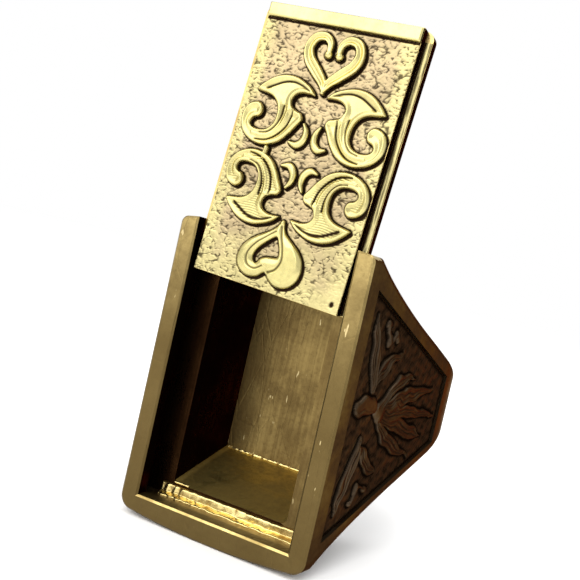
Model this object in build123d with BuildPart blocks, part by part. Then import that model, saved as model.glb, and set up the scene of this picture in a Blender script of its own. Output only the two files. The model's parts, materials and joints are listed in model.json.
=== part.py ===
from build123d import *
import math
import os

# Slide-lid compartment ring. Millimetres. Origin: centre of the finger bore.
# +Z: the way the lid slides open (along the finger). -Y: the way the bezel faces. +X: right.

# ---- bezel and shoulders ----
BEZEL_W = 17.0          # rim width across the finger
BEZEL_H = 25.7          # rim length along the finger
RIM_Y = -20.5           # plane of the rim
BULGE = 0.55            # how far each end of the rim bows out
CORNER_UP, CORNER_LOW = 0.6, 1.15
BORE_R = 9.85           # finger bore, ring size about 9.5
HOOP_R = 12.0           # outside of the hoop
SHANK_HALF = 3.4        # half width of the shank
SHANK_Y = 1.6           # where the shank takes over from the shoulders
TAPER = [(0.0, 13.3), (1.6, 12.45), (3.2, 11.5), (5.0, 10.55), (8.0, 9.15),
         (12.0, 7.5), (16.0, 6.0), (19.0, 4.85), (21.5, 3.9), (23.6, SHANK_HALF)]

# ---- slideway and compartment ----
LIP_T = 1.3             # thickness of the rim frame that laps over the lid
MOUTH_HALF = 6.98       # half the clear width between the rim strips
SILL_Z = -11.0          # inside edge of the bottom rim strip
GROOVE_HALF = 7.65      # half width of the groove behind the strips
LEDGE_D = 2.75          # depth of the ledge the lid runs over
BOX_HALF_TOP, BOX_END_TOP = 5.35, 9.9
BOX_HALF_LOW, BOX_END_LOW = 4.4, 7.4
FLOOR_D, FLOOR_T = 9.4, 0.8
SILL_FROM, SILL_TO = -6.3, 6.5
SILL_BAR_H, SILL_BAR_T = 0.95, 0.35
SILL_STEP_H, SILL_STEP_T = 0.34, 0.95   # taller foot against the groove's end, clear of the shut lid

# ---- lid (drawn closed and straight, then set at its open pose) ----
LID_X0, LID_X1 = -6.7, 6.38
LID_Z0, LID_L = -10.6, 22.25
FIELD_D, PLATE_T = 0.65, 0.8
FLANGE_X0, FLANGE_X1, FLANGE_T = -7.35, 7.02, 0.85
BAND_H, BAND_T = 1.15, 0.35
RELIEF = 0.45
PIN_X, PIN_Z = 6.36, -9.4
PIN_R, PIN_FIT = 0.25, 0.03
PIN_TOP_D, PIN_END_D, COLLAR_R, COLLAR_T = 1.8, 3.55, 0.5, 0.2
SLOT_D = 3.75
TRAVEL = 17.9
CANT = 4.5              # degrees of sideways lean when open

# ---- sunk side panels ----
PANEL_U0, PANEL_U1 = 1.7, 19.3
PANEL_H0, PANEL_H1 = 9.95, 3.2
SINK, PLAQUE_T, SIDE_RELIEF = 0.3, 0.3, 0.28

# lid ornaments, x from the lid's left edge and z from its bottom edge: outlines of the broad
# pieces as (x, z), and strokes of changing width as (x, z, width)
SCROLL = [(6.2, 15.65), (5.7, 16.2), (4.95, 16.6), (4.05, 16.85), (3.15, 16.8), (2.35, 16.5),
          (1.75, 16.05), (1.3, 15.6), (1.1, 15.25), (1.65, 15.1), (2.3, 15.0), (2.85, 14.75),
          (3.25, 14.25), (3.4, 13.55), (3.3, 12.85), (2.85, 12.35), (2.2, 12.2), (1.6, 12.3),
          (1.35, 12.6), (1.5, 12.95), (1.95, 13.15), (2.15, 13.55), (2.05, 14.0), (1.65, 14.3),
          (1.1, 14.2), (0.65, 13.85), (0.42, 13.2), (0.48, 12.4), (0.88, 11.7), (1.6, 11.2),
          (2.5, 10.98), (3.4, 11.1), (4.2, 11.5), (4.85, 12.2), (5.35, 13.0), (5.7, 13.6),
          (5.5, 14.08), (5.0, 14.25), (4.55, 14.5), (4.4, 14.98), (4.62, 15.4), (5.1, 15.62),
          (5.7, 15.65)]
HEART_LOW = [(6.65, 5.8), (6.45, 5.7), (6.35, 5.4), (6.05, 5.0), (5.5, 4.55), (4.8, 4.1), (4.15, 3.55),
             (3.7, 2.9), (3.55, 2.15), (3.75, 1.4), (4.3, 0.9), (5.0, 0.72), (5.75, 0.9), (6.3, 1.35),
             (6.7, 1.0), (7.3, 0.62), (8.0, 0.55), (8.7, 0.85), (9.2, 1.5), (9.35, 2.3), (9.15, 3.1),
             (8.6, 3.8), (7.9, 4.3), (7.25, 4.75), (6.95, 5.2), (6.85, 5.65)]
HEART_GAP = [(6.45, 4.3), (5.9, 3.85), (5.3, 3.2), (5.0, 2.6), (5.05, 2.15), (5.35, 2.0), (5.6, 2.4),
             (6.05, 2.65), (6.5, 2.72), (7.0, 2.85), (7.0, 3.3), (6.75, 3.9)]
CRESCENT = [(5.95, 13.35, 0.25), (6.25, 12.8, 0.5), (6.2, 12.1, 0.6), (5.75, 11.65, 0.6), (5.15, 11.7, 0.3)]
HEART_UP = [(6.72, 15.95, 0.3), (6.4, 16.75, 0.7), (5.65, 17.5, 0.85), (4.85, 18.35, 0.85),
            (4.5, 19.25, 0.8), (4.85, 20.05, 0.75), (5.6, 20.25, 0.7), (6.15, 19.85, 0.6), (6.25, 19.2, 0.5)]
HEART_UP_BALL = (6.2, 18.98, 0.36)
NUB = [(3.3, 10.2, 0.45), (3.35, 10.9, 0.45)]
MIRROR_X, MIRROR_Z = 13.35, 21.6

# side ornaments: (u back from the rim along the side, z, stroke width)
PETALS = [[(6.8, 0.5, 0.6), (8.6, 2.1, 1.2), (10.6, 2.9, 1.0), (12.6, 3.1, 0.2)],
          [(7.0, 0.3, 0.6), (10.5, 1.2, 1.2), (14.0, 1.7, 1.0), (16.8, 1.9, 0.2)],
          [(7.0, 0.0, 0.6), (11.0, 0.0, 1.3), (15.0, -0.2, 1.1), (18.2, -0.4, 0.2)],
          [(7.0, -0.3, 0.6), (10.5, -1.1, 1.2), (13.8, -1.9, 1.0), (16.4, -2.4, 0.2)],
          [(6.8, -0.5, 0.6), (9.2, -2.2, 1.2), (12.0, -3.4, 1.0), (14.4, -4.2, 0.2)]]
BUD = [(2.7, 0.6, 0.3), (3.6, 0.75, 1.5), (4.9, 0.7, 1.6), (6.0, 0.4, 0.9)]
SPRAY = [[(4.9, 1.9, 0.4), (4.6, 3.2, 1.0), (3.9, 5.0, 1.2), (3.3, 6.8, 0.8), (3.0, 8.2, 0.2)],
         [(4.9, 2.6, 0.5), (6.3, 3.9, 1.1), (7.6, 4.7, 0.9), (8.7, 5.0, 0.2)]]
BERRY_STALK = [(5.3, 7.3, 0.3), (5.8, 6.2, 0.3), (7.2, 6.5, 0.3)]
BERRIES = [(5.8, 6.2, 0.5), (7.2, 6.5, 0.42), (5.25, 7.4, 0.42)]


def flare():
    """Angle of the flat side, and the point where it runs out into the hoop."""
    px, py = BEZEL_W / 2, RIM_Y
    dist = math.hypot(px, py)
    angle = math.asin(HOOP_R / dist) - math.atan2(px, -py)
    length = math.sqrt(dist ** 2 - HOOP_R ** 2)
    return angle, px + length * math.sin(angle), py + length * math.cos(angle)


def box(x0, x1, y0, y1, z0, z1):
    return Location(((x0 + x1) / 2, (y0 + y1) / 2, (z0 + z1) / 2)), (x1 - x0, y1 - y0, z1 - z0)


def cut_box(x0, x1, y0, y1, z0, z1):
    where, size = box(x0, x1, y0, y1, z0, z1)
    with Locations(where):
        Box(*size, mode=Mode.SUBTRACT)


def hoop_outline():
    """Section across the finger: bezel, flared sides, round hoop."""
    _, tx, ty = flare()
    with BuildSketch(Plane.XY.offset(-BEZEL_H)) as sk:
        with BuildLine():
            Polyline((-tx, ty), (-BEZEL_W / 2, RIM_Y), (BEZEL_W / 2, RIM_Y), (tx, ty))
            ThreePointArc((tx, ty), (0, HOOP_R), (-tx, ty))
        make_face()
    return extrude(sk.sketch, amount=2 * BEZEL_H)


def taper_outline():
    """Section along the finger: rounded rim ends, then the taper to the shank."""
    with BuildSketch(Plane.YZ.offset(-20)) as sk:
        with BuildLine():
            up = [(RIM_Y + d, h) for d, h in TAPER]
            down = [(y, -h) for y, h in up]
            Spline(*up, tangents=[(1, -0.45), (1, -0.1)])
            Line(up[-1], (15, SHANK_HALF))
            Line((15, SHANK_HALF), (15, -SHANK_HALF))
            Line((15, -SHANK_HALF), down[-1])
            Spline(*down, tangents=[(1, 0.45), (1, 0.1)])
            Line(down[0], up[0])
        make_face()
    return extrude(sk.sketch, amount=40)


def cushion_outline():
    """Seen from the front: the two ends bow out a little."""
    radius = (BEZEL_W ** 2 / 4 + BULGE ** 2) / (2 * BULGE)
    zc = BEZEL_H / 2 - radius + math.sqrt(radius ** 2 - 14.0 ** 2)
    with BuildSketch(Plane.XZ.offset(-20)) as sk:
        with BuildLine():
            ThreePointArc((-14, zc), (0, BEZEL_H / 2), (14, zc))
            Line((14, zc), (14, -zc))
            ThreePointArc((14, -zc), (0, -BEZEL_H / 2), (-14, -zc))
            Line((-14, -zc), (-14, zc))
        make_face()
    return extrude(sk.sketch, amount=60)


def envelope():
    """The whole ring as one shape, before it is hollowed out and divided."""
    hoop, taper, cushion = hoop_outline(), taper_outline(), cushion_outline()
    with BuildPart() as p:
        add(hoop)
        add(taper, mode=Mode.INTERSECT)
        add(cushion, mode=Mode.INTERSECT)
        ridges = [e for e in p.edges() if abs((e @ 0.5).X) > 8.4 and abs((e @ 0.5).Z) > 3
                  and (e @ 0.5).Y > RIM_Y + 0.01]
        fillet([e for e in ridges if (e @ 0.5).Z > 0], CORNER_UP)
        ridges = [e for e in p.edges() if abs((e @ 0.5).X) > 8.4 and (e @ 0.5).Z < -3
                  and (e @ 0.5).Y > RIM_Y + 0.01]
        fillet(ridges, CORNER_LOW)
    return p.part


def side_plane():
    angle, _, _ = flare()
    return Plane(origin=(BEZEL_W / 2, RIM_Y, 0), x_dir=(math.sin(angle), math.cos(angle), 0),
                 z_dir=(math.cos(angle), -math.sin(angle), 0))


def panel(top, thick, shrink=0.0):
    """A flat tapering slab whose outer face is `top` below the side of the ring."""
    s = shrink
    with BuildPart() as p:
        with BuildSketch(side_plane().offset(-top)):
            Polygon((PANEL_U0 + s, PANEL_H0 - s), (PANEL_U1 - s, PANEL_H1 - s),
                    (PANEL_U1 - s, -PANEL_H1 + s), (PANEL_U0 + s, -PANEL_H0 + s), align=None)
        extrude(amount=-thick)
    return p.part


def compartment(depth0, depth1, grow=0.0):
    """The tapering compartment between two depths below the rim."""
    def half(d):
        t = (d - LEDGE_D) / (FLOOR_D - LEDGE_D)
        return (BOX_HALF_TOP + t * (BOX_HALF_LOW - BOX_HALF_TOP) + grow,
                BOX_END_TOP + t * (BOX_END_LOW - BOX_END_TOP) + grow)
    with BuildPart() as p:
        for d in (depth0, depth1):
            hx, hz = half(d)
            with BuildSketch(Plane(origin=(0, RIM_Y + d, 0), x_dir=(1, 0, 0), z_dir=(0, 1, 0))):
                RectangleRounded(2 * hx, 2 * hz, 0.5)
        loft()
    return p.part


def bezel_body(ring):
    box_top, box_low = compartment(LEDGE_D, FLOOR_D), compartment(FLOOR_D, FLOOR_D + 2.0)
    pocket = panel(-0.5, SINK + PLAQUE_T + 0.5)
    with BuildPart() as p:
        add(ring)
        cut_box(-20, 20, SHANK_Y, 20, -20, 20)
        cut_box(-20, 20, -30, RIM_Y + LIP_T, -20, 20)
        cut_box(-GROOVE_HALF, GROOVE_HALF, RIM_Y, RIM_Y + LEDGE_D, SILL_Z, 20)
        Cylinder(BORE_R, 40, mode=Mode.SUBTRACT)
        add([box_top, box_low, pocket, pocket.mirror(Plane.YZ)], mode=Mode.SUBTRACT)
        slot_y = RIM_Y + (LEDGE_D + SLOT_D) / 2
        r = PIN_R + PIN_FIT
        with Locations((PIN_X, slot_y, PIN_Z + TRAVEL / 2)):
            Box(2 * r, SLOT_D - LEDGE_D, TRAVEL, mode=Mode.SUBTRACT)
        with Locations(*[Location((PIN_X, slot_y, z), (90, 0, 0)) for z in (PIN_Z, PIN_Z + TRAVEL)]):
            Cylinder(r, SLOT_D - LEDGE_D, mode=Mode.SUBTRACT)
    return p.part


def rim_frame(ring):
    with BuildPart() as p:
        add(ring)
        where, size = box(-20, 20, RIM_Y - 1, RIM_Y + LIP_T, -20, 20)
        with Locations(where):
            Box(*size, mode=Mode.INTERSECT)
        cut_box(-MOUTH_HALF, MOUTH_HALF, RIM_Y - 2, RIM_Y + 3, SILL_Z, 20)
        front = p.faces().sort_by(Axis.Y)[0]
        chamfer(front.edges(), 0.15)
    return p.part


def shank(ring):
    with BuildPart() as p:
        add(ring)
        cut_box(-20, 20, -40, SHANK_Y, -20, 20)
        Cylinder(BORE_R, 40, mode=Mode.SUBTRACT)
    return p.part


def compartment_floor():
    return compartment(FLOOR_D, FLOOR_D + FLOOR_T)


def sill_bar():
    """Bright solder fillet on the ledge below the compartment's mouth."""
    y1 = RIM_Y + LEDGE_D
    with BuildPart() as p:
        with BuildSketch(Plane.YZ.offset(SILL_FROM)):
            Polygon((y1, SILL_Z), (y1 - SILL_STEP_T, SILL_Z), (y1 - SILL_STEP_T, SILL_Z + SILL_STEP_H - 0.15),
                    (y1 - SILL_STEP_T + 0.15, SILL_Z + SILL_STEP_H), (y1 - SILL_BAR_T, SILL_Z + SILL_STEP_H),
                    (y1 - SILL_BAR_T, SILL_Z + SILL_BAR_H - 0.12), (y1 - SILL_BAR_T + 0.12, SILL_Z + SILL_BAR_H),
                    (y1, SILL_Z + SILL_BAR_H), align=None)
        extrude(amount=SILL_TO - SILL_FROM)
    return p.part


def smooth(points, per=5):
    """Catmull-Rom run through (a, b, width) points."""
    out = []
    n = len(points)
    for i in range(n - 1):
        quad = [points[max(0, min(n - 1, j))] for j in (i - 1, i, i + 1, i + 2)]
        for k in range(per):
            t = k / per
            out.append(tuple(0.5 * (2 * q1 + (q2 - q0) * t + (2 * q0 - 5 * q1 + 4 * q2 - q3) * t * t
                                    + (3 * q1 - q0 - 3 * q2 + q3) * t ** 3)
                             for q0, q1, q2, q3 in zip(*quad)))
    return out + [points[-1]]


def ribbon(points):
    """Outline of a stroke of changing width, as one closed loop."""
    pts = smooth(points)
    left, right = [], []
    for i, (a, b, w) in enumerate(pts):
        a0, b0, _ = pts[max(0, i - 1)]
        a1, b1, _ = pts[min(len(pts) - 1, i + 1)]
        m = math.hypot(a1 - a0, b1 - b0)
        na, nb = -(b1 - b0) / m, (a1 - a0) / m
        left.append((a + na * w / 2, b + nb * w / 2))
        right.append((a - na * w / 2, b - nb * w / 2))
    return left + right[::-1]


def closed(loop, per=3):
    """A smooth closed run through the points of an outline."""
    return smooth(loop[-1:] + loop + loop[:2], per)[per:per + per * len(loop)]


def strokes(plane, runs, height, discs=(), loops=(), gaps=()):
    """Raise strokes, discs and closed outlines off a plane as one piece."""
    with BuildPart() as p:
        for mode, group in ((Mode.ADD, loops), (Mode.SUBTRACT, gaps)):
            for loop in group:
                with BuildSketch(plane):
                    Polygon(*closed(loop), align=None)
                extrude(amount=height, mode=mode)
        for run in runs:
            with BuildSketch(plane):
                Polygon(*ribbon(run), align=None)
            extrude(amount=height)
        for a, b, r in discs:
            with BuildSketch(plane):
                with Locations((a, b)):
                    Circle(r)
            extrude(amount=height)
    return p.part


def flip(run, x=False, z=False):
    return [((MIRROR_X - a) if x else a, (MIRROR_Z - b) if z else b, *w) for a, b, *w in run]


def mirrored(run):
    return [(u, -z, w) for u, z, w in run]


def set_open(part):
    """Move a closed lid piece to the open pose: out by TRAVEL, leaning about the pin."""
    there = Location((PIN_X, 0, PIN_Z + TRAVEL)) * Location((0, 0, 0), (0, CANT, 0))
    return part.moved(there * Location((-PIN_X, 0, -PIN_Z)))


def lid_slab(x0, x1, d0, d1, z0, z1, corner=0.0):
    with BuildPart() as p:
        where, size = box(x0, x1, RIM_Y + d0, RIM_Y + d1, z0, z1)
        with Locations(where):
            Box(*size)
        if corner:
            top = p.edges().filter_by(Axis.Y).group_by(Axis.Z)[-1]
            fillet(top, corner)
        top = max(d0, PIN_TOP_D - 0.05)
        if z0 <= PIN_Z and top < d1:
            with Locations(Location((PIN_X, RIM_Y + (top + d1) / 2, PIN_Z), (90, 0, 0))):
                Cylinder(PIN_R + PIN_FIT, d1 - top, mode=Mode.SUBTRACT)
    return p.part


def lid_pieces():
    z1 = LID_Z0 + LID_L
    d1 = FIELD_D + PLATE_T
    field = Plane(origin=(LID_X0, RIM_Y + FIELD_D, LID_Z0), x_dir=(1, 0, 0), z_dir=(0, -1, 0))
    pieces = {
        "lid_face_plate": lid_slab(LID_X0, LID_X1, FIELD_D, d1, LID_Z0, z1),
        "lid_slide_plate": lid_slab(FLANGE_X0, FLANGE_X1, d1, d1 + FLANGE_T, LID_Z0, z1, 0.7),
        "lid_end_band": lid_slab(LID_X0, LID_X1, FIELD_D - BAND_T, FIELD_D, z1 - BAND_H, z1),
        "lid_upper_heart": strokes(field, [HEART_UP, flip(HEART_UP, x=True)], RELIEF,
                                   [HEART_UP_BALL] + flip([HEART_UP_BALL], x=True)),
        "lid_lower_heart": strokes(field, [], RELIEF, loops=[HEART_LOW], gaps=[HEART_GAP]),
    }
    for name, fx, fz in (("upper_left", 0, 0), ("upper_right", 1, 0), ("lower_left", 0, 1), ("lower_right", 1, 1)):
        runs = [NUB] if name == "lower_left" else []
        pieces["lid_scroll_" + name] = strokes(field, runs, RELIEF, loops=[flip(SCROLL, fx, fz)])
        pieces["lid_crescent_" + name] = strokes(field, [flip(CRESCENT, fx, fz)], RELIEF * 0.8)
    return {name: set_open(part) for name, part in pieces.items()}


def lid_stop_pin():
    with BuildPart() as p:
        mid = RIM_Y + (PIN_TOP_D + PIN_END_D) / 2
        with Locations(Location((PIN_X, mid, PIN_Z), (90, 0, 0))):
            Cylinder(PIN_R, PIN_END_D - PIN_TOP_D)
        back = RIM_Y + FIELD_D + PLATE_T + FLANGE_T + COLLAR_T / 2
        with Locations(Location((PIN_X, back, PIN_Z), (90, 0, 0))):
            Cylinder(COLLAR_R, COLLAR_T)
    return p.part.moved(Location((0, 0, TRAVEL)))


def side_pieces():
    ground = side_plane().offset(-SINK)
    right = {
        "plaque": panel(SINK, PLAQUE_T),
        "palmette": strokes(ground, PETALS, SIDE_RELIEF, [(7.0, 0.0, 0.9)]),
        "bud": strokes(ground, [BUD], SIDE_RELIEF),
        "upper_spray": strokes(ground, SPRAY, SIDE_RELIEF),
        "lower_spray": strokes(ground, [mirrored(run) for run in SPRAY], SIDE_RELIEF),
        "upper_berries": strokes(ground, [BERRY_STALK], SIDE_RELIEF * 0.8, BERRIES),
        "lower_berries": strokes(ground, [mirrored(BERRY_STALK)], SIDE_RELIEF * 0.8, mirrored(BERRIES)),
    }
    out = {}
    for name, part in right.items():
        out["right_" + name] = part
        out["left_" + name] = part.mirror(Plane.YZ)
    return out


os.makedirs("parts", exist_ok=True)
ring = envelope()
nodes = {
    "bezel_body": bezel_body(ring),
    "rim_frame": rim_frame(ring),
    "shank": shank(ring),
    "compartment_floor": compartment_floor(),
    "sill_bar": sill_bar(),
    "lid_stop_pin": lid_stop_pin(),
}
nodes.update(side_pieces())
nodes.update(lid_pieces())
for name, part in nodes.items():
    solids = part.solids()
    shape = solids[0] if len(solids) == 1 else part
    b = shape.bounding_box()
    print(f"{name:26s} {len(solids)} solid(s) valid={shape.is_valid} vol={shape.volume:8.2f} "
          f"x {b.min.X:.2f}..{b.max.X:.2f} y {b.min.Y:.2f}..{b.max.Y:.2f} z {b.min.Z:.2f}..{b.max.Z:.2f}")
    export_step(shape, os.path.join("parts", name + ".step"))
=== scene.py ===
import json
import math

import bpy
import numpy as np
from mathutils import Matrix, Vector, kdtree


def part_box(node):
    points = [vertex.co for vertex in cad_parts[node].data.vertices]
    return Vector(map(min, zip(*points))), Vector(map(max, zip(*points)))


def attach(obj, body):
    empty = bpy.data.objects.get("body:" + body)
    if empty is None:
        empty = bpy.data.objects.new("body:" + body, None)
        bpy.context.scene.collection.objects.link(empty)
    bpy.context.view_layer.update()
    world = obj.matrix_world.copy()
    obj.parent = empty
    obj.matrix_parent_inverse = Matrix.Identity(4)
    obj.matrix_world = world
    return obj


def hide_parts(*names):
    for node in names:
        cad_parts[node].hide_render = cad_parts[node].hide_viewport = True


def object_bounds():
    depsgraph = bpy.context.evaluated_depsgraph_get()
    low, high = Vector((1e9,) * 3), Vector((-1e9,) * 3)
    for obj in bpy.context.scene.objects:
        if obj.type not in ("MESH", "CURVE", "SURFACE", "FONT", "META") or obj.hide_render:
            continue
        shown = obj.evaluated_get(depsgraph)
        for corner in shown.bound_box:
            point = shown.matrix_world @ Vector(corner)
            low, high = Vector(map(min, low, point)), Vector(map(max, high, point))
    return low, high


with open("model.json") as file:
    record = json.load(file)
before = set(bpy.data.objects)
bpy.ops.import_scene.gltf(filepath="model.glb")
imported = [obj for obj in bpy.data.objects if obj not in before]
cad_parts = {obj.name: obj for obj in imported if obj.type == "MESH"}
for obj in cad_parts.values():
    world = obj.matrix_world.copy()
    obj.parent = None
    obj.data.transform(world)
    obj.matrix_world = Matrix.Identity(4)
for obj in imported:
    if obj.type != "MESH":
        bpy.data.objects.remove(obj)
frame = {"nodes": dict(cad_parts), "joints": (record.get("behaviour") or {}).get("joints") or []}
cad_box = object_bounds()
nodes = frame["nodes"]
MM = 0.001

# ---------------------------------------------------------------- places, from the frame
RIM_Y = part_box("rim_frame")[0].y / MM
pin_low, pin_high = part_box("lid_stop_pin")
PIN_X, PIN_Z = (pin_low.x + pin_high.x) / 2 / MM, (pin_low.z + pin_high.z) / 2 / MM
CANT = math.radians(next(j for j in frame["joints"] if j["name"] == "lid_cant")["range_deg"][1])

# lid, measured on its own face: a from the left edge, b from the bottom edge
PIN_A, PIN_B = 13.06, 1.2       # where the stop pin stands behind it
LID_W, LID_L = 13.08, 22.25
FIELD_D = 0.65                  # how far the lid's ground lies behind the rim
PLATE_D = 0.797                 # how far the slide plate's front lies behind that ground
MARGIN_W = 0.64                 # how far the slide plate stands out beside the face plate
BAND_B, BAND_T = 21.1, 0.35     # lower edge and thickness of the plain end band
RELIEF = 0.45                   # height of the ornaments
CRESCENT_RELIEF = 0.8 * RELIEF
PIT = (12.44, 0.68)             # small dark pit near the lower right corner

# side panels, measured on the flat flared side: a back from the rim, b up
BEZEL_HALF, HOOP_R = 8.5, 12.0
PANEL_U0, PANEL_U1 = 1.7, 19.3          # front and back end of a panel
PANEL_H0, PANEL_H1 = 9.95, 3.2          # half its height at those ends
SINK, SIDE_RELIEF = 0.3, 0.28           # depth of its ground, height of its ornaments
SIDE_WAVER = 0.45                       # how unsteadily its strokes are cut

# compartment; depths are behind the rim
LEDGE_D, FLOOR_D = 2.75, 9.4
BOX_END_TOP, BOX_END_LOW = 9.9, 7.4     # half length at the ledge and at the floor
BOX_HALF_TOP, BOX_HALF_LOW = 5.35, 4.4  # half width at the ledge and at the floor
GROOVE_HALF, SILL_Z = 7.65, -11.0       # half width and lower end of the slideway
SILL_FROM, SILL_TO = -6.3, 6.5          # solder fillet at that end, from left to right
SILL_BAR_H, SILL_BAR_T = 0.95, 0.35     # its apron's height and thickness
SILL_STEP_H, SILL_STEP_T = 0.34, 0.95   # its foot's height and thickness


def lid_plane():
    """(origin, along a, along b, outwards) of the lid's ground at its open pose, in millimetres."""
    u = Vector((math.cos(CANT), 0, -math.sin(CANT)))
    v = Vector((math.sin(CANT), 0, math.cos(CANT)))
    corner = Vector((PIN_X, 0, PIN_Z)) - PIN_A * u - PIN_B * v
    corner.y = RIM_Y + FIELD_D
    return corner, u, v, Vector((0, -1, 0))


def side_plane(side):
    """The same for a side panel. side is 1 for the right, -1 for the left."""
    reach = math.hypot(BEZEL_HALF, RIM_Y)
    flare = math.asin(HOOP_R / reach) - math.atan2(BEZEL_HALF, -RIM_Y)
    u = Vector((side * math.sin(flare), math.cos(flare), 0))
    n = Vector((side * math.cos(flare), -math.sin(flare), 0))
    return Vector((side * BEZEL_HALF, RIM_Y, 0)) - n * SINK, u, Vector((0, 0, 1)), n


def front_plane(x, depth, z):
    """The same for a surface that faces the front, with its corner at x, depth behind the rim, and z."""
    return Vector((x, RIM_Y + depth, z)), Vector((1, 0, 0)), Vector((0, 0, 1)), Vector((0, -1, 0))


# ---------------------------------------------------------------- relief drawn as strokes and outlines
FAR = 1e9
TINY = 1e-9
OUTSIDE = -0.3      # height given to points outside every outline


def smooth(points, per=8):
    """Catmull-Rom run through (a, b, width) points, as an array."""
    p = np.array(points, float)
    q = np.vstack([p[:1], p, p[-1:]])
    out = []
    for i in range(len(p) - 1):
        q0, q1, q2, q3 = q[i:i + 4]
        for t in np.arange(per) / per:
            out.append(0.5 * (2 * q1 + (q2 - q0) * t + (2 * q0 - 5 * q1 + 4 * q2 - q3) * t ** 2
                              + (3 * q1 - q0 - 3 * q2 + q3) * t ** 3))
    return np.vstack(out + [p[-1]])


def measure(a, b, run):
    """For each point: distance inside the stroke's edge, place across it (-1..1), half width, way along."""
    path = smooth(run)
    best = np.full(a.shape, -FAR)
    across, half, along = np.zeros(a.shape), np.ones(a.shape), np.zeros(a.shape)
    gone = 0.0
    for p, q in zip(path[:-1], path[1:]):
        d = q[:2] - p[:2]
        length = math.hypot(*d) or TINY
        t = np.clip(((a - p[0]) * d[0] + (b - p[1]) * d[1]) / length ** 2, 0, 1)
        da, db = a - p[0] - t * d[0], b - p[1] - t * d[1]
        w = (p[2] + t * (q[2] - p[2])) / 2
        dist = np.hypot(da, db)
        inside = w - dist
        side = np.sign(d[0] * db - d[1] * da) * dist / w
        new = inside > best
        best[new] = inside[new]
        across[new], half[new], along[new] = side[new], w[new], (gone + t * length)[new]
        gone += length
    return best, across, half, along


def bump(x, centre, width):
    """1 at the centre, falling smoothly to 0 on both sides."""
    return np.exp(-((x - centre) / width) ** 2)


def dome(inside, radius):
    """Quarter-round edge: 0 at the edge, 1 from radius inwards; falls away outside."""
    x = np.clip(inside / radius, 0, 1)
    return np.where(inside > 0, np.sqrt(1 - (1 - x) ** 2), np.maximum(inside * 5, OUTSIDE))


def loop_inside(a, b, loop):
    """Distance inside a closed outline drawn smoothly through its points; negative outside."""
    per = 4
    p = smooth([(x, y, 0) for x, y in loop[-1:] + loop + loop[:2]], per)[per:per + per * len(loop), :2]
    dist, odd = np.full(a.shape, FAR), np.zeros(a.shape, bool)
    for (x0, y0), (x1, y1) in zip(p, np.roll(p, -1, 0)):
        dx, dy = x1 - x0, y1 - y0
        t = np.clip(((a - x0) * dx + (b - y0) * dy) / (dx * dx + dy * dy), 0, 1)
        dist = np.minimum(dist, np.hypot(a - x0 - t * dx, b - y0 - t * dy))
        odd ^= ((y0 > b) != (y1 > b)) & (a < x0 + (b - y0) / (dy or TINY) * dx)
    return np.where(odd, dist, -dist)


def leaf_profile(inside, a, b, hatch):
    """Raised bead along the outline, a shallow dish inside it, with faint hatching if wanted."""
    bead, slope, spacing = 0.24, 0.3, 0.19
    dish = np.clip((inside - bead) / slope, 0, 1)
    lines = 0.5 + 0.5 * np.sin(2 * math.pi * (b + 0.04 * np.sin(3 * a)) / spacing)
    h = dome(inside, 0.2) * (1 - 0.34 * dish) - hatch * dish * lines * 0.08
    return h, np.clip(1 - 0.24 * dish - hatch * dish * lines * 0.35, 0, 1)


def full_profile(inside, a, b, hatch):
    """Plump rounded leaf, called like leaf_profile."""
    return dome(inside, 0.6) * 0.85 + 0.15 * dome(inside, 0.2), np.clip(0.75 + inside, 0, 1)


def round_profile(inside, across, half, along, hand):
    """Plain rounded stroke with one fine line on its inner side."""
    s = across * hand
    line = bump(s, -0.42, 0.09) * np.clip((half - 0.28) / 0.1, 0, 1)
    h = dome(inside, np.minimum(0.3, half)) - 0.14 * line
    return h, np.clip(1 - 0.5 * line, 0, 1)


def band_profile(inside, across, half, along, hand):
    """Double-edged band: a bead down each side and a shallow channel between."""
    dish = bump(across, 0, 0.42) * np.clip((half - 0.24) / 0.12, 0, 1)
    return dome(inside, np.minimum(0.17, half)) * (1 - 0.4 * dish), np.clip(1 - 0.42 * dish, 0, 1)


def petal_profile(inside, across, half, along, hand):
    """Raised outline with a dished middle, a centre vein and finer veins beside it."""
    dish = bump(across, 0, 0.5)
    vein = bump(across, 0, 0.13)
    fine = (0.5 + 0.5 * np.cos(2 * math.pi * (across * 2.6 + 0.25 * along))) * (1 - vein) * (half > 0.25)
    h = dome(inside, np.minimum(0.16, half)) * (1 - 0.55 * dish) + 0.28 * vein - 0.1 * fine
    return h, np.clip(1 - 0.55 * dish + 0.45 * vein - 0.3 * fine, 0, 1)


def relief_field(a, b, strokes=(), discs=(), loops=(), lines=()):
    """Height (0..1), wear (0 dark .. 1 bright) and distance inside the outline, over the points."""
    height, wear_and_shade, edge = np.full(a.shape, OUTSIDE), np.zeros(a.shape), np.full(a.shape, -FAR)
    for outline, gap, profile, hatch in loops:
        inside = loop_inside(a, b, outline)
        if gap:
            inside = np.minimum(inside, -loop_inside(a, b, gap))
        h, w = profile(inside, a, b, hatch)
        new = h > height
        height[new], wear_and_shade[new] = h[new], w[new]
        edge = np.maximum(edge, inside)
    for run, rise, width in lines:
        _, across, half, _ = measure(a, b, run)
        mark = bump(across * half, 0, width) * np.clip(edge / 0.2, 0, 1)
        height += rise * mark
        wear_and_shade = np.clip(wear_and_shade + (0.3 if rise > 0 else -0.8) * mark, 0, 1)
    for run, profile, hand in strokes:
        inside, across, half, along = measure(a, b, run)
        h, w = profile(inside, across, half, along, hand)
        new = h > height
        height[new], wear_and_shade[new] = h[new], w[new]
        edge = np.maximum(edge, inside)
    for ca, cb, r in discs:
        inside = r - np.hypot(a - ca, b - cb)
        h = dome(inside, r)
        new = h > height
        height[new], wear_and_shade[new] = h[new], 1
        edge = np.maximum(edge, inside)
    wear_and_shade = wear_and_shade * np.clip((edge + 0.01) / 0.09, 0, 1)
    return np.minimum(height, 1.0), wear_and_shade, edge


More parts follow.
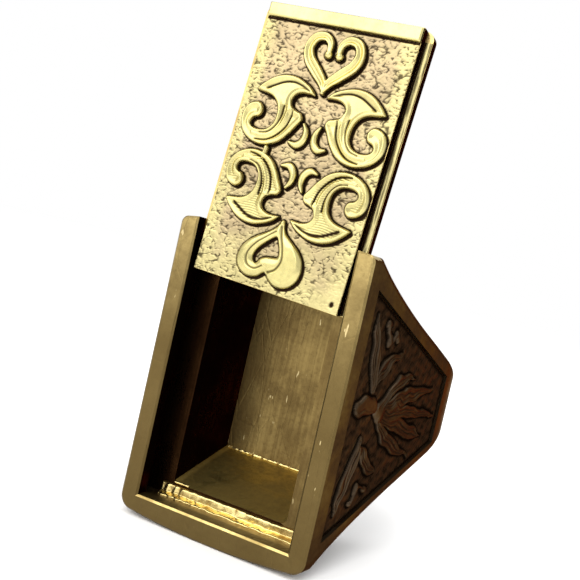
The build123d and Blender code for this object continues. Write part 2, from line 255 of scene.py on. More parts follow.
def all_four(near):
    """Which squares of a grid have all four of their corners marked."""
    return near[:-1, :-1] & near[:-1, 1:] & near[1:, 1:] & near[1:, :-1]


def give(mesh, name, values):
    """A number for each point of the mesh, for its material to read."""
    mesh.attributes.new(name, "FLOAT", "POINT").data.foreach_set("value", values.astype(np.float32))


def grid_mesh(name, plane, a, b, h, wear_and_shade, keep=None):
    """A surface over a grid of points at height h above the plane, in millimetres, with a wear attribute."""
    if keep is None:
        keep = all_four(np.ones(a.shape, bool))
    origin, u, v, n = (np.array(x) for x in plane)
    co = (origin + a[..., None] * u + b[..., None] * v + h[..., None] * n) * MM
    rows, cols = a.shape
    index = np.arange(rows * cols).reshape(rows, cols)
    quads = np.stack([index[:-1, :-1], index[:-1, 1:], index[1:, 1:], index[1:, :-1]], -1)[keep]
    if np.dot(np.cross(u, v), n) < 0:
        quads = quads[:, ::-1]
    used = np.unique(quads)
    renumber = np.full(rows * cols, -1)
    renumber[used] = np.arange(len(used))
    mesh = bpy.data.meshes.new(name)
    mesh.from_pydata(co.reshape(-1, 3)[used].tolist(), [], renumber[quads].tolist())
    give(mesh, "wear_and_shade", wear_and_shade.reshape(-1)[used])
    mesh.polygons.foreach_set("use_smooth", np.ones(len(mesh.polygons), bool))
    mesh.update()
    piece = bpy.data.objects.new(name, mesh)
    bpy.context.scene.collection.objects.link(piece)
    return piece


def blotches(a, b, seed, size):
    """Soft random unevenness over the points, 0..1, with blotches about `size` across."""
    rng = np.random.default_rng(seed)
    out = np.zeros(a.shape)
    waves, swing = 14, 9
    for _ in range(waves):
        angle, phase = rng.uniform(0, 2 * math.pi, 2)
        f = 2 * math.pi / size * rng.uniform(0.5, 1.6)
        out += np.sin(f * (a * math.cos(angle) + b * math.sin(angle)) + phase)
    return np.clip(0.5 + out / swing, 0, 1)


def unsteady(a, b, waver):
    """The points shifted a little, so that strokes look cut by hand."""
    size = 2.6
    return (a + waver * (blotches(a, b, 81, size) - 0.5),
            b + waver * (blotches(a, b, 83, size) - 0.5))


def relief_piece(name, plane, art, height, step=0.045, waver=0.0):
    """One raised ornament as a mesh of its own; its edge runs down below the ground it stands on."""
    points = [p for run, _, _ in art.get("strokes", ()) for p in run]
    points += [(x, y, 2 * r) for x, y, r in art.get("discs", ())]
    points += [(x, y, 0) for outline, _, _, _ in art.get("loops", ()) for x, y in outline]
    points = np.array(points)
    margin = points[:, 2].max() / 2 + 0.2
    lo, hi = points[:, :2].min(0) - margin, points[:, :2].max(0) + margin
    a, b = np.meshgrid(np.arange(lo[0], hi[0], step), np.arange(lo[1], hi[1], step))
    h, wear_and_shade, edge = relief_field(*unsteady(a, b, waver), **art)
    return grid_mesh(name, plane, a, b, h * height, wear_and_shade, all_four(edge > -1.6 * step))


# ---------------------------------------------------------------- the ornaments
# An outline is a list of (a, b), a stroke of (a, b, width) and a disc (a, b, radius).
# A line is (stroke, rise, width): a fine ridge, or a groove where rise is negative.
SCROLL = [(6.2, 15.65), (5.7, 16.2), (4.95, 16.6), (4.05, 16.85), (3.15, 16.8), (2.35, 16.5),
          (1.75, 16.05), (1.3, 15.6), (1.1, 15.25), (1.65, 15.1), (2.3, 15.0), (2.85, 14.75),
          (3.25, 14.25), (3.4, 13.55), (3.3, 12.85), (2.85, 12.35), (2.2, 12.2), (1.6, 12.3),
          (1.35, 12.6), (1.5, 12.95), (1.95, 13.15), (2.15, 13.55), (2.05, 14.0), (1.65, 14.3),
          (1.1, 14.2), (0.65, 13.85), (0.42, 13.2), (0.48, 12.4), (0.88, 11.7), (1.6, 11.2),
          (2.5, 10.98), (3.4, 11.1), (4.2, 11.5), (4.85, 12.2), (5.35, 13.0), (5.7, 13.6),
          (5.5, 14.08), (5.0, 14.25), (4.55, 14.5), (4.4, 14.98), (4.62, 15.4), (5.1, 15.62),
          (5.7, 15.65)]
SCROLL_LINES = [([(4.4, 14.75, 0.2), (4.3, 14.1, 0.2), (4.22, 13.4, 0.2), (3.95, 12.7, 0.2),
                  (3.4, 12.05, 0.2), (2.6, 11.72, 0.2), (1.75, 11.75, 0.2)], 0.3, 0.13),
                ([(4.75, 14.3, 0.2), (4.68, 13.6, 0.2), (4.45, 12.8, 0.2), (3.85, 12.0, 0.2),
                  (3.1, 11.5, 0.2), (2.2, 11.35, 0.2)], -0.3, 0.07),
                ([(3.85, 14.4, 0.2), (3.85, 13.5, 0.2), (3.62, 12.75, 0.2), (3.1, 12.15, 0.2),
                  (2.4, 11.95, 0.2)], -0.24, 0.07),
                ([(5.6, 15.9, 0.2), (4.9, 16.2, 0.2), (4.1, 16.35, 0.2), (3.3, 16.2, 0.2), (2.6, 15.85, 0.2),
                  (2.0, 15.5, 0.2)], -0.16, 0.1)]
HEART_LOW = [(6.65, 5.8), (6.45, 5.7), (6.35, 5.4), (6.05, 5.0), (5.5, 4.55), (4.8, 4.1), (4.15, 3.55),
             (3.7, 2.9), (3.55, 2.15), (3.75, 1.4), (4.3, 0.9), (5.0, 0.72), (5.75, 0.9), (6.3, 1.35),
             (6.7, 1.0), (7.3, 0.62), (8.0, 0.55), (8.7, 0.85), (9.2, 1.5), (9.35, 2.3), (9.15, 3.1),
             (8.6, 3.8), (7.9, 4.3), (7.25, 4.75), (6.95, 5.2), (6.85, 5.65)]
HEART_GAP = [(6.45, 4.3), (5.9, 3.85), (5.3, 3.2), (5.0, 2.6), (5.05, 2.15), (5.35, 2.0), (5.6, 2.4),
             (6.05, 2.65), (6.5, 2.72), (7.0, 2.85), (7.0, 3.3), (6.75, 3.9)]
HEART_LINES = [([(6.7, 5.3, 0.2), (6.95, 4.5, 0.2), (7.3, 3.6, 0.2), (7.5, 2.7, 0.2), (7.2, 1.9, 0.2),
                 (6.6, 1.5, 0.2)], -0.3, 0.09),
               ([(8.1, 3.9, 0.2), (8.55, 3.1, 0.2), (8.6, 2.2, 0.2), (8.1, 1.4, 0.2)], 0.14, 0.25),
               ([(6.35, 4.8, 0.2), (5.6, 4.1, 0.2), (4.9, 3.4, 0.2), (4.45, 2.5, 0.2), (4.7, 1.7, 0.2),
                 (5.4, 1.5, 0.2), (6.0, 1.9, 0.2)], -0.26, 0.08)]
CRESCENT = [(5.95, 13.35, 0.25), (6.25, 12.8, 0.5), (6.2, 12.1, 0.62), (5.75, 11.65, 0.6), (5.1, 11.75, 0.25)]
HEART_UP = [(6.72, 15.95, 0.3), (6.4, 16.75, 0.75), (5.65, 17.5, 0.95), (4.8, 18.35, 0.95),
            (4.5, 19.25, 0.85), (4.85, 20.05, 0.8), (5.6, 20.25, 0.72), (6.15, 19.85, 0.6), (6.25, 19.2, 0.5)]
HEART_UP_BALL = (6.2, 18.95, 0.36)
NUB = [(3.3, 10.2, 0.45), (3.35, 10.9, 0.45)]
MIRROR_A, MIRROR_B = 13.35, 21.6        # a point and its mirror image on the lid add up to these

PETALS = [[(6.8, 0.5, 0.6), (8.6, 2.1, 1.2), (10.6, 2.9, 1.0), (12.6, 3.1, 0.2)],
          [(7.0, 0.3, 0.6), (10.5, 1.2, 1.2), (14.0, 1.7, 1.0), (16.8, 1.9, 0.2)],
          [(7.0, 0.0, 0.6), (11.0, 0.0, 1.3), (15.0, -0.2, 1.1), (18.2, -0.4, 0.2)],
          [(7.0, -0.3, 0.6), (10.5, -1.1, 1.2), (13.8, -1.9, 1.0), (16.4, -2.4, 0.2)],
          [(6.8, -0.5, 0.6), (9.2, -2.2, 1.2), (12.0, -3.4, 1.0), (14.4, -4.2, 0.2)]]
BUD = [(2.7, 0.6, 0.3), (3.6, 0.75, 1.5), (4.9, 0.7, 1.6), (6.0, 0.4, 0.9)]
SPRAY = [[(4.9, 1.9, 0.4), (4.6, 3.2, 1.0), (3.9, 5.0, 1.2), (3.3, 6.8, 0.8), (3.0, 8.2, 0.2)],
         [(4.9, 2.6, 0.5), (6.3, 3.9, 1.1), (7.6, 4.7, 0.9), (8.7, 5.0, 0.2)]]
BERRY_STALK = [(5.3, 7.3, 0.3), (5.8, 6.2, 0.3), (7.2, 6.5, 0.3)]
BERRIES = [(5.8, 6.2, 0.5), (7.2, 6.5, 0.42), (5.25, 7.4, 0.42)]


def flip(run, fa=False, fb=False):
    """A shape on the lid mirrored left to right, top to bottom, or both."""
    return [((MIRROR_A - a) if fa else a, (MIRROR_B - b) if fb else b, *w) for a, b, *w in run]


def upside(run):
    """A shape on a side panel turned upside down."""
    return [(a, -b, w) for a, b, w in run]


# ---------------------------------------------------------------- materials
CLOUD_SCALE, FINE_SCALE, BRUSH_SCALE, SPECK_SCALE, SCAR_SCALE = 260, 2600, 3600, 2300, 700     # per metre
BUMP_STRENGTH, BUMP_DEPTH = 0.35, 0.00006


def add(tree, kind, **inputs):
    """A new node with its sockets linked or set, and other names set as its properties."""
    node = tree.nodes.new(kind)
    for key, value in inputs.items():
        if isinstance(value, bpy.types.NodeSocket):
            tree.links.new(value, node.inputs[key])
        elif key in node.inputs:
            node.inputs[key].default_value = value
        else:
            setattr(node, key, value)
    return node


def math_node(tree, operation, x, y=None, clamp=False):
    node = tree.nodes.new("ShaderNodeMath")
    node.operation, node.use_clamp = operation, clamp
    for socket, value in zip(node.inputs, (x, y)):
        if isinstance(value, bpy.types.NodeSocket):
            tree.links.new(value, socket)
        elif value is not None:
            socket.default_value = value
    return node.outputs[0]


def noise(tree, coords, scale, detail, rough=0.6, stretch=(1, 1, 1)):
    mapping = add(tree, "ShaderNodeMapping", Vector=coords)
    mapping.inputs["Scale"].default_value = stretch
    n = add(tree, "ShaderNodeTexNoise", Vector=mapping.outputs[0])
    n.inputs["Scale"].default_value, n.inputs["Detail"].default_value = scale, detail
    n.inputs["Roughness"].default_value = rough
    return n.outputs["Fac"]


def ramp(tree, value, low, high, out_low=0.0, out_high=1.0):
    """Smooth change from out_low to out_high as the value goes from low to high."""
    node = tree.nodes.new("ShaderNodeMapRange")
    node.interpolation_type = "SMOOTHSTEP"
    tree.links.new(value, node.inputs["Value"])
    for key, x in (("From Min", low), ("From Max", high), ("To Min", out_low), ("To Max", out_high)):
        node.inputs[key].default_value = x
    return node.outputs["Result"]


def mix(tree, factor, low, high):
    """The colour low where factor is 0, high where it is 1; each a colour or a socket."""
    node = tree.nodes.new("ShaderNodeMix")
    node.data_type = "RGBA"
    tree.links.new(factor, node.inputs["Factor"])
    for socket, value in ((node.inputs[6], low), (node.inputs[7], high)):
        if isinstance(value, bpy.types.NodeSocket):
            tree.links.new(value, socket)
        else:
            socket.default_value = (*value, 1)
    return node.outputs[2]


def brass(name, bright, dark, rough, mottle, wear_and_shade=False, grain=0.3, brushed=None, tint=None,
          scratches=0.0, specks=None, fade=None, rim=(1, 1, 1)):
    """Brass with patina, bright to dark and smooth to rough, mottled by noise.

    wear darkens it by the mesh's wear attribute, and tint is its colour where the tone attribute is high.
    brushed is (strength, stretch) of tool marks, and specks the colour of its nicks.
    fade is (low, high, least): below low it is darkened to least. rim is its colour at a grazing view.
    """
    material = bpy.data.materials.new(name)
    material.use_nodes = True
    tree = material.node_tree
    shader = tree.nodes["Principled BSDF"]
    coords = add(tree, "ShaderNodeTexCoord").outputs["Object"]

    def product(x, y, **options):
        return math_node(tree, "MULTIPLY", x, y, **options)

    def total(x, y):
        return math_node(tree, "ADD", x, y)

    cloud = noise(tree, coords, CLOUD_SCALE, 5)
    fine = noise(tree, coords, FINE_SCALE, 4)
    keep = product(ramp(tree, cloud, 0.3, 0.72, 1 - mottle), ramp(tree, fine, 0.25, 0.6, 1 - 0.5 * mottle))
    if wear_and_shade:
        attribute = add(tree, "ShaderNodeAttribute", attribute_name="wear_and_shade").outputs["Fac"]
        keep = product(keep, ramp(tree, attribute, 0.05, 0.8), clamp=True)
    if fade:
        low, high, least = fade
        height = add(tree, "ShaderNodeSeparateXYZ", Vector=coords).outputs["Z"]
        keep = product(keep, ramp(tree, height, low * MM, high * MM, least))
    relief = total(product(fine, grain), product(cloud, 1.5 * grain))
    if brushed:
        strength, stretch = brushed
        marks = noise(tree, coords, BRUSH_SCALE, 3, stretch=stretch)
        relief = total(relief, product(marks, strength))
        keep = product(keep, ramp(tree, marks, 0.34, 0.66, 0.72, 1.12))
    colour = mix(tree, keep, dark, bright)
    if tint:
        tone = add(tree, "ShaderNodeAttribute", attribute_name="tone").outputs["Fac"]
        tinted = mix(tree, keep, tuple(0.6 * x for x in dark), tint)
        colour = mix(tree, ramp(tree, tone, 0.1, 0.9, 0.0, 0.8), colour, tinted)
    if specks:
        nicks = noise(tree, coords, SPECK_SCALE, 2, 0.5, (1, 1, 0.3))
        colour = mix(tree, ramp(tree, nicks, 0.715, 0.75), colour, specks)
    if scratches:
        mapping = add(tree, "ShaderNodeMapping", Vector=coords)
        mapping.inputs["Scale"].default_value = (1, 1, 0.25)
        mapping.inputs["Rotation"].default_value = (0.3, 0.5, 0.2)
        scar = add(tree, "ShaderNodeTexVoronoi", feature="DISTANCE_TO_EDGE", Vector=mapping.outputs[0])
        scar.inputs["Scale"].default_value = SCAR_SCALE
        relief = total(relief, ramp(tree, scar.outputs["Distance"], 0.0, 0.03, -scratches, 0.0))
    tree.links.new(colour, shader.inputs["Base Color"])
    tree.links.new(ramp(tree, keep, 0.1, 0.9, rough[1], rough[0]), shader.inputs["Roughness"])
    shader.inputs["Metallic"].default_value = 1.0
    shader.inputs["Specular Tint"].default_value = (*rim, 1)
    uneven = add(tree, "ShaderNodeBump", Height=relief)
    uneven.inputs["Strength"].default_value = BUMP_STRENGTH
    uneven.inputs["Distance"].default_value = BUMP_DEPTH
    tree.links.new(uneven.outputs[0], shader.inputs["Normal"])
    return material


BROWN = (0.36, 0.26, 0.15)
POLISHED = brass("polished_brass", (0.74, 0.65, 0.275), (0.022, 0.012, 0.005), (0.24, 0.42), 0.27,
                 wear_and_shade=True, grain=0.25)
PALE = brass("pale_brass", (0.61, 0.53, 0.25), (0.02, 0.010, 0.005), (0.34, 0.55), 0.25,
             wear_and_shade=True, tint=(0.41, 0.31, 0.19))
# Satin brass is darkened towards the bottom: painted shade for light falling from above.
SATIN = brass("satin_brass", (0.46, 0.345, 0.135), (0.11, 0.074, 0.026), (0.33, 0.5), 0.6,
              grain=1.0, scratches=0.8, specks=(0.6, 0.48, 0.24), fade=(1.0, 13.0, 0.1))
# Shank, outside of the bezel and outer sides of the rim: brown patina, made darker still as painted shade for
# surfaces that face away from the light.
AGED_SHADED = brass("aged_brass", (0.10, 0.075, 0.044), (0.026, 0.016, 0.009), (0.32, 0.5), 0.6,
             grain=0.45, scratches=0.15, rim=BROWN)
# Near-black brass for the compartment's walls, the rim's inner sides and the lid plates' edges: painted
# shade, with real tool marks.
SHADED_WALLS = brass("shaded_wall_brass", (0.045, 0.02, 0.007), (0.006, 0.002, 0.001), (0.25, 0.42), 0.7,
              grain=0.4, brushed=(0.4, (1, 1, 0.03)), rim=BROWN)
# Olive brass for the compartment's lower end, brightened as painted light for a face that looks up into the
# light.
LIT_OLIVE = brass("lit_olive_brass", (0.80, 0.61, 0.19), (0.24, 0.155, 0.04), (0.34, 0.5), 0.9,
              grain=0.7, brushed=(0.4, (0.12, 0.3, 1)))
INNER = brass("inner_brass", (0.22, 0.155, 0.055), (0.085, 0.052, 0.018), (0.32, 0.46), 0.7,
              grain=0.7, scratches=0.3, brushed=(0.4, (1, 1, 0.03)), specks=(0.5, 0.4, 0.2))
BRIGHT = brass("bright_brass", (0.92, 0.76, 0.33), (0.28, 0.165, 0.04), (0.22, 0.42), 0.35,
               wear_and_shade=True, grain=0.9)
EDGE = brass("edge_brass", (0.80, 0.62, 0.25), (0.25, 0.17, 0.05), (0.25, 0.42), 0.7, grain=0.5)
PIN = brass("pin_brass", (0.30, 0.22, 0.10), (0.10, 0.06, 0.02), (0.3, 0.5), 0.5)
# The side panels' plaques, ground and ornaments: brown patina, made darker still as painted shade for sides
# that face away from the light.
DARK = brass("dark_brass", (0.055, 0.033, 0.015), (0.012, 0.007, 0.003), (0.36, 0.55), 0.6,
             grain=0.5, rim=BROWN)
SIDE = brass("relief_brass", (0.078, 0.054, 0.034), (0.009, 0.006, 0.004), (0.34, 0.55), 0.45,
             wear_and_shade=True, grain=0.4, rim=BROWN)


def finish_piece(piece, material, body, slot, *replaced):
    """Gives a new piece its material and body, and hides the CAD nodes that it stands in for. slot is not
    used.
    """
    piece.data.materials.clear()
    piece.data.materials.append(material)
    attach(piece, body)
    if replaced:
        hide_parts(*replaced)


# ---------------------------------------------------------------- lid
lid = lid_plane()
lid_art = {
    "lid_upper_heart": {"strokes": [(HEART_UP, band_profile, -1), (flip(HEART_UP, True), band_profile, 1)],
                        "discs": [HEART_UP_BALL] + flip([HEART_UP_BALL], True)},
    "lid_lower_heart": {"loops": [(HEART_LOW, HEART_GAP, full_profile, 0)], "lines": HEART_LINES},
}
for corner, fa, fb in (("upper_left", False, False), ("upper_right", True, False),
                       ("lower_left", False, True), ("lower_right", True, True)):
    hand = 1 if fa == fb else -1
    lid_art["lid_scroll_" + corner] = {
        "loops": [(flip(SCROLL, fa, fb), None, leaf_profile, int(fb))],
        "lines": [(flip(run, fa, fb), rise, width) for run, rise, width in SCROLL_LINES],
        "strokes": [(NUB, round_profile, 1)] if corner == "lower_left" else []}
    lid_art["lid_crescent_" + corner] = {"strokes": [(flip(CRESCENT, fa, fb), round_profile, hand)]}
for name, art in lid_art.items():
    piece = relief_piece(name + "_relief", lid, art, CRESCENT_RELIEF if "crescent" in name else RELIEF)
    finish_piece(piece, POLISHED, "lid", "polished_brass", name)


def crackle(a, b, spacing, seed):
    """0 in the cracks between small uneven cells, rising to 1 in their middles."""
    rng = np.random.default_rng(seed)
    lo, hi = (a.min() - 1, b.min() - 1), (a.max() + 1, b.max() + 1)
    ca, cb = np.meshgrid(np.arange(lo[0], hi[0], spacing), np.arange(lo[1], hi[1], spacing))
    jitter = rng.uniform(-0.5, 0.5, (2,) + ca.shape) * spacing
    tree = kdtree.KDTree(ca.size)
    for i, (x, y) in enumerate(zip((ca + jitter[0]).ravel(), (cb + jitter[1]).ravel())):
        tree.insert((x, y, 0), i)
    tree.balance()
    out = np.empty(a.size)
    for i, (x, y) in enumerate(zip(a.ravel(), b.ravel())):
        (_, _, d1), (_, _, d2) = tree.find_n((x, y, 0), 2)
        out[i] = d2 - d1
    return np.clip(out.reshape(a.shape) / (0.5 * spacing), 0, 1)


def lid_cracks(a, b, wa, wb):
    """Short wavy cracks, 1 in their middle, that fade out towards the pit. wa, wb are the points shifted."""
    crack = np.zeros(a.shape)
    clear = np.clip((np.hypot(a - PIT[0], b - PIT[1]) - 0.4) / 2.2, 0, 1)
    for seed, size, slant in ((71, 1.05, 0.2), (73, 0.8, -0.3)):
        wave = blotches(wa * 0.75 + slant * wb, wb * 1.35, seed, size)
        patches = np.clip((blotches(a, b, seed + 1, 0.9) - 0.39) * 6, 0, 1) * clear
        crack = np.maximum(crack, np.clip(1.3 - abs(wave - 0.5) / 0.13, 0, 1) * patches)
    return crack


def lid_ground():
    """Stippled ground between the ornaments: patina round their feet with a painted shadow to their lower
    right, darker along the end band's foot, browner towards its middle.
    """
    step, border, height = 0.06, 0.03, 0.06
    a, b = np.meshgrid(np.arange(border, LID_W - 0.02, step), np.arange(border, BAND_B, step))
    wa, wb = (x + 0.22 * (blotches(a, b, seed, 1.1) - 0.5) for x, seed in ((a, 21), (b, 22)))
    fine = crackle(wa, wb * 1.5, 0.4, 3) * 1.5 + 1.1 * (blotches(a, b, 7, 0.7) - 0.42)
    cells = (0.5 + 0.5 * np.clip(fine, 0, 1)) * (1 - 0.88 * lid_cracks(a, b, wa, wb))
    edge, shade = np.full(a.shape, -FAR), np.full(a.shape, -FAR)
    for art in lid_art.values():
        edge = np.maximum(edge, relief_field(a, b, **art)[2])
        # the same outlines moved to the lower right give a painted shadow beside each ornament
        shade = np.maximum(shade, relief_field(a - 0.15, b + 0.11, **art)[2])
    dark_outline = np.clip((-edge - 0.03) / 0.1, 0, 1) * np.clip(-shade / 0.1, 0, 1)
    pit = np.clip(np.hypot((a - PIT[0]) / 0.17, (b - PIT[1]) / 0.24) - 0.6, 0, 1)
    # the strip along the end band's foot is lower and darker
    foot = np.clip((BAND_B - 0.16 - b) / 0.08, 0, 1)
    middle = np.clip(np.minimum(np.minimum(a - 0.2, LID_W - 0.3 - a), b - 0.5) / 1.4, 0, 1)
    tone = middle * (0.62 + 0.5 * blotches(a, b, 11, 3.2)) * np.clip(0.45 + b / 16, 0, 1)
    h = 0.005 + height * np.sqrt(cells) * dark_outline * pit * (0.3 + 0.7 * foot)
    wear_and_shade = (0.1 + 0.9 * cells ** 0.8) * dark_outline * (0.02 + 0.98 * pit) * foot
    piece = grid_mesh("lid_ground", lid, a, b, h, wear_and_shade)
    give(piece.data, "tone", tone.reshape(-1))
    return piece


def lid_margin():
    """Front of the slide plate where it shows beside the face plate: painted shadow in the corner by the face
    plate, painted shade along its outer edge, bright and streaked between.
    """
    gap, step = 0.01, 0.05
    a, b = np.meshgrid(np.linspace(LID_W + gap, LID_W + MARGIN_W - 2 * gap, 14),
                       np.arange(step, LID_L - 0.75, step))
    across = (a - LID_W) / MARGIN_W
    streak = np.clip(blotches(a * 7, b * 0.8, 31, 2.6) + 0.35, 0, 1)
    # dark next to the face plate and along the outer edge: painted shadow and painted shade
    wear_and_shade = np.clip((across - 0.2) / 0.15, 0, 1) * np.clip((0.94 - across) / 0.1, 0, 1) * streak
    return grid_mesh("lid_margin", lid, a, b, 0.02 * wear_and_shade - PLATE_D, wear_and_shade)


def end_band():
    """Plain raised band with softened edges, not quite flat."""
    step, edge_radius = 0.08, 0.16
    a, b = np.meshgrid(np.arange(0, LID_W + 0.01, step), np.linspace(BAND_B, LID_L, 26))
    inside = np.minimum(np.minimum(a, LID_W - a), np.minimum(b - BAND_B, LID_L - b))
    h = dome(inside + 1e-4, edge_radius) * (BAND_T - 0.012 * blotches(a, b, 61, 2.0))
    return grid_mesh("lid_end_band_form", lid, a, b, h, np.clip(0.5 + inside / 0.1, 0, 1))


finish_piece(lid_ground(), PALE, "lid", "pale_brass")
finish_piece(lid_margin(), PALE, "lid", "pale_brass")
finish_piece(end_band(), POLISHED, "lid", "polished_brass", "lid_end_band")

# ---------------------------------------------------------------- side panels
side_art = {
    "palmette": {"strokes": [(run, petal_profile, 1) for run in PETALS], "discs": [(7.0, 0.0, 0.9)]},
    "bud": {"strokes": [(BUD, round_profile, 1)]},
    "upper_spray": {"strokes": [(run, petal_profile, 1) for run in SPRAY]},
    "lower_spray": {"strokes": [(upside(run), petal_profile, 1) for run in SPRAY]},
    "upper_berries": {"strokes": [(BERRY_STALK, round_profile, 1)], "discs": BERRIES},
    "lower_berries": {"strokes": [(upside(BERRY_STALK), round_profile, 1)], "discs": upside(BERRIES)},
}


def side_ground(name, plane):
    """Sunk rough ground of a side panel, dark along its border and round the ornaments."""
    step, height, gap = 0.12, 0.05, 0.04
    a, b = np.meshgrid(np.arange(PANEL_U0 + 0.05, PANEL_U1, step),
                       np.arange(-PANEL_H0, PANEL_H0 + 0.01, step))
    limit = PANEL_H0 + (a - PANEL_U0) / (PANEL_U1 - PANEL_U0) * (PANEL_H1 - PANEL_H0)
    border = np.minimum(limit - np.abs(b), np.minimum(a - PANEL_U0, PANEL_U1 - a))
    edge = np.full(a.shape, -FAR)
    for art in side_art.values():
        edge = np.maximum(edge, relief_field(*unsteady(a, b, SIDE_WAVER), **art)[2])
    dark_outline = np.clip((-edge - 0.02) / 0.3, 0, 1) * np.clip((border - 0.1) / 0.35, 0, 1)
    rough = blotches(a, b, 5, 0.9) * 0.6 + blotches(a, b, 6, 0.4) * 0.4
    wear_and_shade = (0.22 + 0.5 * rough) * dark_outline
    return grid_mesh(name, plane, a, b, 0.004 + height * rough * dark_outline, wear_and_shade, all_four(border > gap))


for side, word in ((1, "right"), (-1, "left")):
    plane = side_plane(side)
    finish_piece(side_ground(word + "_ground", plane), SIDE, "ring", "dark_brass")
    for name, art in side_art.items():
        piece = relief_piece(f"{word}_{name}_relief", plane, art, SIDE_RELIEF, step=0.06, waver=SIDE_WAVER)
        finish_piece(piece, SIDE, "ring", "relief_brass", f"{word}_{name}")

# ---------------------------------------------------------------- inside the compartment
SKIN = 0.004        # how far a new surface lies over the CAD surface behind it


def sill_form():
    """The rough bright fillet of solder at the end of the ledge: a tall foot, then a lower apron above it."""
    length, edge_radius, slope = SILL_TO - SILL_FROM, 0.16, 0.16
    a, b = np.meshgrid(np.arange(0, length, 0.05), np.linspace(0, SILL_BAR_H, 32))
    ragged = 0.07 * blotches(a, a * 0, 41, 1.4)
    lumps = blotches(a, b * 0.6, 43, 1.1)
    inside = np.minimum(SILL_BAR_H - b, np.minimum(a, length - a) + 0.02)
    fall = np.clip((b - SILL_STEP_H + slope + ragged) / slope, 0, 1)
    top = SILL_STEP_T * (0.86 + 0.13 * lumps) * (1 - fall) + SILL_BAR_T * (0.62 + 0.36 * lumps) * fall
    h = np.clip(dome(inside, edge_radius), 0, 1) * top + SKIN
    notches = bump(a, 1.9, 0.12) + 0.6 * bump(a, 7.3, 0.1)
    shine = np.clip(0.55 + 0.7 * lumps - 0.5 * bump(fall, 0.5, 0.3) - 0.6 * notches, 0, 1)
    where = front_plane(SILL_FROM, LEDGE_D, SILL_Z)
    return grid_mesh("sill_bar_form", where, a, b, h, np.clip(inside / 0.06, 0, 1) * shine)


def floor_seam():
    """Fine bead of solder where the compartment's floor meets its lower end, with two pinholes."""
    gap, height = 0.1, 0.09
    a, b = np.meshgrid(np.arange(0, 2 * (BOX_HALF_LOW - gap), 0.04), np.linspace(0.0, 0.16, 7))
    lumps = blotches(a, b * 0, 51, 0.7)
    holes = np.clip(np.minimum(abs(a - 2.6), abs(a - 3.6)) / 0.12, 0, 1)
    h = SKIN + height * dome(0.08 * (0.5 + lumps) - abs(b - 0.06) + 0.02, 0.1).clip(0, 1) * holes
    where = front_plane(gap - BOX_HALF_LOW, FLOOR_D, -BOX_END_LOW)
    return grid_mesh("floor_seam", where, a, b, h, np.clip(0.3 + lumps, 0, 1) * holes)


def highlight_bead():
    """Short bright bead on the compartment's edge, above the fillet's left end: a painted highlight along
    that edge.
    """
    length, width, height = 1.46, 0.2, 0.12
    a, b = np.meshgrid(np.arange(0, length + 0.04, 0.04), np.linspace(0.0, width, 8))
    lumps = blotches(a, b, 57, 0.8)
    inside = np.minimum(np.minimum(a, length - a), np.minimum(b, width - b)) * (0.5 + lumps)
    h = SKIN + height * dome(inside, 0.1).clip(0, 1)
    where = front_plane(-5.3, LEDGE_D, -BOX_END_TOP - 0.02)
    return grid_mesh("highlight_bead", where, a, b, h, 0.5 + 0.5 * lumps)


finish_piece(sill_form(), BRIGHT, "ring", "bright_brass", "sill_bar")
finish_piece(floor_seam(), BRIGHT, "ring", "bright_brass")
finish_piece(highlight_bead(), BRIGHT, "ring", "bright_brass")

# ---------------------------------------------------------------- CAD pieces that stay as they are
def paint(name, materials, choose=lambda place, normal: 0):
    """Gives a CAD node its materials. choose takes a face's middle, in mm, and normal, and says which one."""
    mesh = nodes[name].data
    mesh.materials.clear()
    for material in materials:
        mesh.materials.append(material)
    for face in mesh.polygons:
        face.material_index = choose(face.center / MM, face.normal)


def plate_face(place, normal):
    """Back, edge or front of a lid plate; the edges get near-black brass as painted shade."""
    return 1 if abs(normal.y) < 0.5 else 2 if normal.y < 0 else 0


def rim_face(place, normal):
    """Front, bevel above the bottom strip, outside or inside of the rim; the inside gets near-black brass as
    painted shade.
    """
    bevel = SILL_Z - 0.16 < place.z < SILL_Z + 0.01 and 0.3 < abs(normal.y) < 0.9
    if bevel and abs(place.x) < 7.2:
        return 1
    if abs(normal.x) > 0.8:
        return 2 if abs(place.x) > BEZEL_HALF - 0.5 else 3
    return 0


def body_face(place, normal):
    """Outside, walls made dark as painted shade, slideway, or compartment's lower end made bright as painted
    light, of the bezel's body.
    """
    near = 0.02
    depth = place.y - RIM_Y
    end = BOX_END_TOP + (depth - LEDGE_D) / (FLOOR_D - LEDGE_D) * (BOX_END_LOW - BOX_END_TOP)
    slideway = depth < LEDGE_D + 0.05 and abs(place.x) < GROOVE_HALF + near and place.z > SILL_Z - near
    box = depth < FLOOR_D + 0.9 and abs(place.x) < BOX_HALF_TOP + 0.1 and abs(place.z) < end + 0.2
    if not (slideway or box):
        return 0
    if slideway and (normal.y < -0.5 and place.x > 5 or place.z < SILL_Z + near):
        return 2
    # the lower end, facing up, gets the brightened olive brass: painted light
    if box and not slideway and place.z < -6 and normal.z > 0.5:
        return 3
    return 1


paint("rim_frame", (SATIN, EDGE, AGED_SHADED, SHADED_WALLS), rim_face)
paint("bezel_body", (AGED_SHADED, SHADED_WALLS, INNER, LIT_OLIVE), body_face)
paint("compartment_floor", (INNER, AGED_SHADED), lambda place, normal: 1 if normal.y > 0.5 else 0)
paint("lid_face_plate", (SATIN, SHADED_WALLS, EDGE), plate_face)
paint("lid_slide_plate", (SATIN, SHADED_WALLS, EDGE), plate_face)
paint("shank", (AGED_SHADED,))
paint("lid_stop_pin", (PIN,))
paint("right_plaque", (DARK,))
paint("left_plaque", (DARK,))


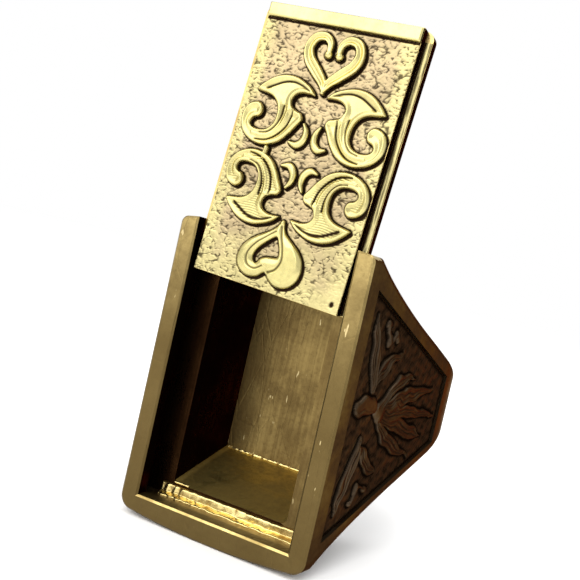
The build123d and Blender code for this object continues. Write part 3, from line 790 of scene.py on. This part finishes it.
# ---------------------------------------------------------------- stage
def stage_floor(reach=1.5, white=0.995):
    """A plain pale floor under the object, in metres."""
    z = cad_box[0].z
    mesh = bpy.data.meshes.new("stage_floor")
    mesh.from_pydata([(-reach, -reach, z), (reach, -reach, z), (reach, reach, z), (-reach, reach, z)],
                     [], [(0, 1, 2, 3)])
    matt = bpy.data.materials.new("stage_paint")
    matt.use_nodes = True
    sockets = matt.node_tree.nodes["Principled BSDF"].inputs
    sockets["Base Color"].default_value = (white, white, white, 1)
    sockets["Roughness"].default_value = 1.0
    sockets["Specular IOR Level"].default_value = 0.0
    mesh.materials.append(matt)
    floor = bpy.data.objects.new("stage_floor", mesh)
    bpy.context.scene.collection.objects.link(floor)


def white_world():
    world = bpy.data.worlds.new("studio")
    world.use_nodes = True
    world.node_tree.nodes["Background"].inputs["Color"].default_value = (1.0, 1.0, 1.0, 1)
    world.node_tree.nodes["Background"].inputs["Strength"].default_value = 1.0
    bpy.context.scene.world = world


def area_light(name, place, target, size, power, colour):
    """A round soft light that points at its target."""
    data = bpy.data.lights.new(name, "AREA")
    data.shape, data.size, data.energy, data.color = "DISK", size, power, colour
    light = bpy.data.objects.new(name, data)
    light.location = Vector(place)
    light.rotation_euler = (Vector(target) - Vector(place)).to_track_quat("-Z", "Y").to_euler()
    bpy.context.scene.collection.objects.link(light)


def place_camera(eye, forward, roll, lens, sensor=36.0):
    """A camera at eye, in mm, that looks along forward and leans by roll degrees."""
    forward = Vector(forward).normalized()
    level = forward.cross(Vector((0, 0, 1))).normalized()
    right = Matrix.Rotation(-math.radians(roll), 3, forward) @ level
    data = bpy.data.cameras.new("camera")
    data.lens, data.sensor_width = lens, sensor
    data.clip_start, data.clip_end = 0.002, 10
    camera = bpy.data.objects.new("camera", data)
    turn = Matrix((right, right.cross(forward), -forward)).transposed()
    camera.matrix_world = Matrix.Translation(Vector(eye) * MM) @ turn.to_4x4()
    bpy.context.scene.collection.objects.link(camera)
    bpy.context.scene.camera = camera


stage_floor()
white_world()
area_light("key", (-0.10, -0.28, 0.22), (0, -0.015, 0), 0.45, 1.0, (1.0, 0.97, 0.92))
area_light("top", (0.05, 0.05, 0.35), (0, 0, 0), 0.3, 0.6, (1, 1, 1))
place_camera(eye=(25.94, -74.80, 10.67), forward=(-0.3979, 0.9166, -0.0382), roll=12.85, lens=47.917)
bpy.context.scene.view_settings.view_transform = "Standard"
